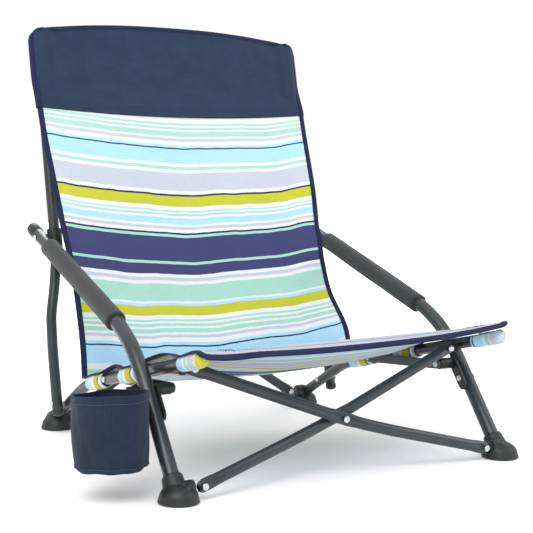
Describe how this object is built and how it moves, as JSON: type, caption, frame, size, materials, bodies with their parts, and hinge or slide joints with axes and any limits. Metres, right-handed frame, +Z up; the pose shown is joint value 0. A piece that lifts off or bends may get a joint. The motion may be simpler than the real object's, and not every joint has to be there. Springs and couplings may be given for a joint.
{
  "type": "folding camp chair",
  "caption": "low folding camp chair with a striped sling seat and back, foam-gripped tube arms, a cloth cup holder and a cross-braced steel frame that folds into a bundle",
  "frame": {"origin": "on the ground, under the middle of the whole chair's box", "axes": "+Z up, the sitter faces -Y, +X is the side to the right of someone looking along +Y"},
  "size_m": [0.6926, 0.6704, 0.6935],
  "materials": {
    "powder_coat": "satin dark grey powder coat",
    "black_plastic": "satin black moulded plastic",
    "foam": "matte closed-cell foam",
    "rivet_steel": "bright plated rivet",
    "striped_fabric": "woven polyester with printed stripes in mint, light blue, navy, yellow-green and white",
    "navy_fabric": "plain woven navy polyester"
  },
  "bodies": {
    "rail_left": {"rail_left": "powder_coat", "rail_tip_cap_left": "black_plastic", "rear_foot_left": "black_plastic", "link_rivet_left": "rivet_steel", "upright_rivet_left": "rivet_steel", "cup_holder": "navy_fabric", "cup_strap": "navy_fabric", "sling_seat": "striped_fabric"},
    "brace_knuckle_left": {"brace_knuckle_left": "black_plastic"},
    "link_left": {"link_left": "powder_coat"},
    "leg_left": {"leg_arm_left": "powder_coat", "arm_foam_left": "foam", "arm_end_cap_left": "black_plastic", "front_foot_left": "black_plastic", "leg_bracket_left": "black_plastic", "bracket_screw_left": "rivet_steel", "bracket_pin_left": "rivet_steel", "collar_rivet_left": "rivet_steel"},
    "upright_left": {"upright_left": "powder_coat", "upright_foot_cap_left": "black_plastic", "upright_top_cap_left": "black_plastic", "sling_back": "striped_fabric", "header_panel": "navy_fabric"},
    "collar_left": {"collar_left": "black_plastic"},
    "front_brace_left": {"front_brace_left": "powder_coat", "front_brace_left_near_rivet": "rivet_steel", "front_brace_left_far_rivet": "rivet_steel", "front_crossing_rivet": "rivet_steel"},
    "rear_brace_left": {"rear_brace_left": "powder_coat", "rear_brace_left_near_rivet": "rivet_steel", "rear_brace_left_far_rivet": "rivet_steel", "rear_crossing_rivet": "rivet_steel"},
    "rail_right": {"rail_right": "powder_coat", "rail_tip_cap_right": "black_plastic", "rear_foot_right": "black_plastic", "link_rivet_right": "rivet_steel", "upright_rivet_right": "rivet_steel"},
    "brace_knuckle_right": {"brace_knuckle_right": "black_plastic"},
    "link_right": {"link_right": "powder_coat"},
    "leg_right": {"leg_arm_right": "powder_coat", "arm_foam_right": "foam", "arm_end_cap_right": "black_plastic", "front_foot_right": "black_plastic", "leg_bracket_right": "black_plastic", "bracket_screw_right": "rivet_steel", "bracket_pin_right": "rivet_steel", "collar_rivet_right": "rivet_steel"},
    "upright_right": {"upright_right": "powder_coat", "upright_foot_cap_right": "black_plastic", "upright_top_cap_right": "black_plastic"},
    "collar_right": {"collar_right": "black_plastic"},
    "front_brace_right": {"front_brace_right": "powder_coat", "front_brace_right_near_rivet": "rivet_steel", "front_brace_right_far_rivet": "rivet_steel"},
    "rear_brace_right": {"rear_brace_right": "powder_coat", "rear_brace_right_near_rivet": "rivet_steel", "rear_brace_right_far_rivet": "rivet_steel"}
  },
  "joints": [
    {"name": "fold", "type": "hinge", "parent": "rail_left", "child": "brace_knuckle_left", "pos_m": [-0.1723, -0.23723, 0.166], "axis": [1, 0, 0], "range_deg": [0, 83.5], "deforming": ["sling_seat", "sling_back", "header_panel", "cup_strap"]},
    {"name": "front_brace_left_turn", "type": "hinge", "parent": "brace_knuckle_left", "child": "front_brace_left", "pos_m": [-0.1723, -0.23723, 0.166], "axis": [0, 0.8931, -0.4498], "range_deg": [0, 57.25]},
    {"name": "front_crossing_turn", "type": "hinge", "parent": "front_brace_left", "child": "front_brace_right", "pos_m": [0.0487, -0.27931, 0.08246], "axis": [0, 0.8931, -0.4498], "range_deg": [-114.5, 0]},
    {"name": "front_brace_right_turn", "type": "hinge", "parent": "front_brace_right", "child": "brace_knuckle_right", "pos_m": [0.2697, -0.23723, 0.166], "axis": [0, 0.8931, -0.4498], "range_deg": [0, 57.25]},
    {"name": "brace_knuckle_right_turn", "type": "hinge", "parent": "brace_knuckle_right", "child": "rail_right", "pos_m": [0.2697, -0.23723, 0.166], "axis": [1, 0, 0], "range_deg": [-83.54, 0]},
    {"name": "link_left_turn", "type": "hinge", "parent": "rail_left", "child": "link_left", "pos_m": [-0.1843, 0.00077, 0.1205], "axis": [1, 0, 0], "range_deg": [0, 132.88]},
    {"name": "leg_left_turn", "type": "hinge", "parent": "link_left", "child": "leg_left", "pos_m": [-0.2063, -0.19323, 0.134], "axis": [1, 0, 0], "range_deg": [-18.78, 0]},
    {"name": "upright_left_turn", "type": "hinge", "parent": "rail_left", "child": "upright_left", "pos_m": [-0.2213, 0.18477, 0.056], "axis": [1, 0, 0], "range_deg": [0, 73.28]},
    {"name": "collar_left_slide", "type": "slide", "parent": "upright_left", "child": "collar_left", "axis": [0, 0.2121, 0.9772], "range_m": [0, 0.19917]},
    {"name": "rear_brace_left_turn", "type": "hinge", "parent": "rail_left", "child": "rear_brace_left", "pos_m": [-0.1653, 0.24077, 0.027], "axis": [0.7418, -0.5905, -0.3181], "range_deg": [0, 73.32]},
    {"name": "link_right_turn", "type": "hinge", "parent": "rail_right", "child": "link_right", "pos_m": [0.2817, 0.00077, 0.1205], "axis": [1, 0, 0], "range_deg": [0, 132.88]},
    {"name": "leg_right_turn", "type": "hinge", "parent": "link_right", "child": "leg_right", "pos_m": [0.3037, -0.19323, 0.134], "axis": [1, 0, 0], "range_deg": [-18.78, 0]},
    {"name": "upright_right_turn", "type": "hinge", "parent": "rail_right", "child": "upright_right", "pos_m": [0.3187, 0.18477, 0.056], "axis": [1, 0, 0], "range_deg": [0, 73.28]},
    {"name": "collar_right_slide", "type": "slide", "parent": "upright_right", "child": "collar_right", "axis": [0, 0.2121, 0.9772], "range_m": [0, 0.19917]},
    {"name": "rear_brace_right_turn", "type": "hinge", "parent": "rail_right", "child": "rear_brace_right", "pos_m": [0.2627, 0.24077, 0.027], "axis": [0.7418, 0.5905, 0.3181], "range_deg": [0, 73.32]}
  ],
  "couplings": [
    {"joint": "front_brace_left_turn", "follows": "fold", "ratio": 0.68533},
    {"joint": "front_crossing_turn", "follows": "fold", "ratio": -1.3707},
    {"joint": "front_brace_right_turn", "follows": "fold", "ratio": 0.68533},
    {"joint": "brace_knuckle_right_turn", "follows": "fold", "ratio": -1},
    {"joint": "link_left_turn", "follows": "fold", "ratio": 1.5907},
    {"joint": "leg_left_turn", "follows": "fold", "ratio": -0.22481},
    {"joint": "upright_left_turn", "follows": "fold", "ratio": 0.87725},
    {"joint": "collar_left_slide", "follows": "fold", "m_per_rad": 0.1366},
    {"joint": "rear_brace_left_turn", "follows": "fold", "ratio": 0.87764},
    {"joint": "link_right_turn", "follows": "fold", "ratio": 1.5907},
    {"joint": "leg_right_turn", "follows": "fold", "ratio": -0.22481},
    {"joint": "upright_right_turn", "follows": "fold", "ratio": 0.87725},
    {"joint": "collar_right_slide", "follows": "fold", "m_per_rad": 0.1366},
    {"joint": "rear_brace_right_turn", "follows": "fold", "ratio": 0.87764}
  ]
}
